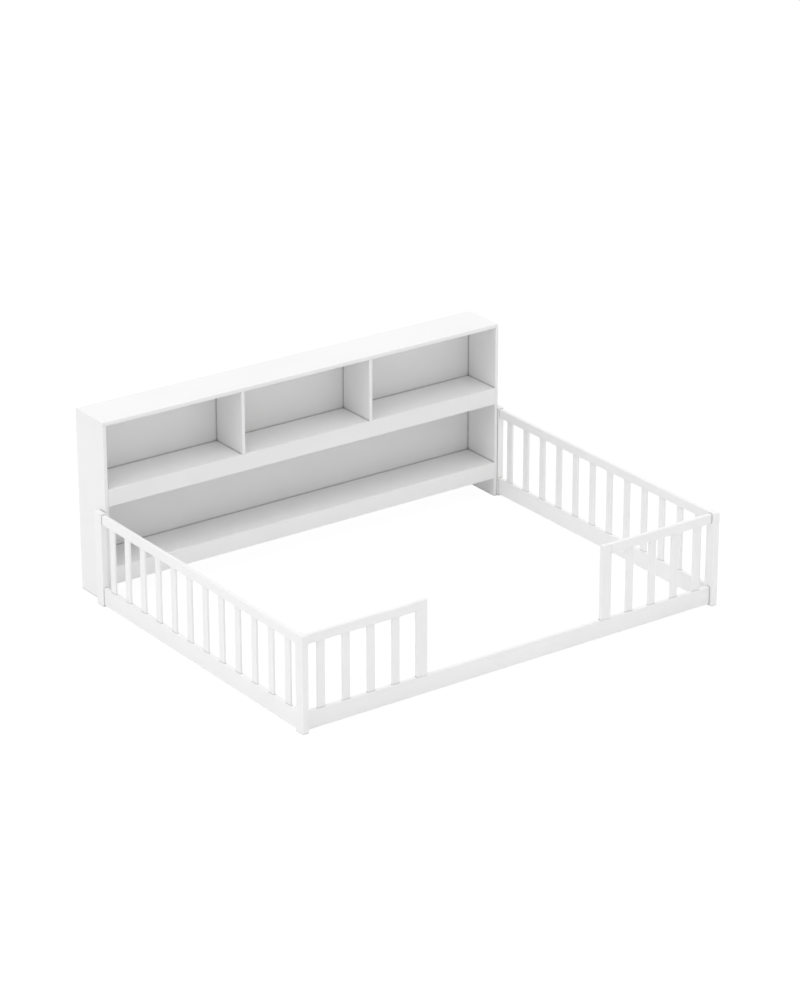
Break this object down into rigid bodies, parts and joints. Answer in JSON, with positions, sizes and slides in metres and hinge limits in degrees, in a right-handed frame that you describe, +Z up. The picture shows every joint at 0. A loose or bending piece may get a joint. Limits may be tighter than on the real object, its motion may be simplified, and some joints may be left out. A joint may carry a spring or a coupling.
{
  "type": "bookcase headboard bed",
  "caption": "Low white floor bed with a long open-shelved bookcase as headboard, slatted side fences and short slatted front guards either side of an entry gap.",
  "frame": {"origin": "on the floor at the centre of the bed's footprint", "axes": "+X runs along the bookcase, +Y points from the open front to the back of the bookcase, +Z is up"},
  "size_m": [2, 1.625, 0.78],
  "materials": {
    "painted_timber": "satin white paint on solid wood",
    "painted_board": "satin white paint on wood board",
    "painted_hardboard": "matt white paint on thin board",
    "zinc_steel": "bright zinc plating",
    "white_plastic": "satin moulded white",
    "beech": "bare turned wood"
  },
  "bodies": {
    "root": {"barrel_nuts": "zinc_steel", "bookcase_left_divider": "painted_board", "bookcase_left_side_panel": "painted_board", "bookcase_lower_apron": "painted_board", "bookcase_lower_back_panel": "painted_hardboard", "bookcase_lower_shelf": "painted_board", "bookcase_middle_apron": "painted_board", "bookcase_middle_shelf": "painted_board", "bookcase_rear_stretcher": "painted_board", "bookcase_right_divider": "painted_board", "bookcase_right_side_panel": "painted_board", "bookcase_top_panel": "painted_board", "bookcase_upper_back_panel": "painted_hardboard", "cam_housings": "zinc_steel", "cam_studs": "zinc_steel", "cover_caps": "white_plastic", "front_bottom_rail": "painted_timber", "front_left_end_stile": "painted_timber", "front_left_post": "painted_timber", "front_left_slats": "painted_timber", "front_left_top_rail": "painted_timber", "front_right_end_stile": "painted_timber", "front_right_post": "painted_timber", "front_right_slats": "painted_timber", "front_right_top_rail": "painted_timber", "left_bottom_rail": "painted_timber", "left_slat_01": "painted_timber", "left_slat_02": "painted_timber", "left_slat_03": "painted_timber", "left_slat_04": "painted_timber", "left_slat_05": "painted_timber", "left_slat_06": "painted_timber", "left_slat_07": "painted_timber", "left_slat_08": "painted_timber", "left_slat_09": "painted_timber", "left_slat_10": "painted_timber", "left_slat_11": "painted_timber", "left_slat_12": "painted_timber", "left_top_rail": "painted_timber", "post_bolts": "zinc_steel", "post_inserts": "zinc_steel", "rail_bolts": "zinc_steel", "rear_left_post": "painted_timber", "rear_right_post": "painted_timber", "right_bottom_rail": "painted_timber", "right_slat_01": "painted_timber", "right_slat_02": "painted_timber", "right_slat_03": "painted_timber", "right_slat_04": "painted_timber", "right_slat_05": "painted_timber", "right_slat_06": "painted_timber", "right_slat_07": "painted_timber", "right_slat_08": "painted_timber", "right_slat_09": "painted_timber", "right_slat_10": "painted_timber", "right_slat_11": "painted_timber", "right_slat_12": "painted_timber", "right_top_rail": "painted_timber", "wooden_dowels": "beech"}
  },
  "joints": []
}
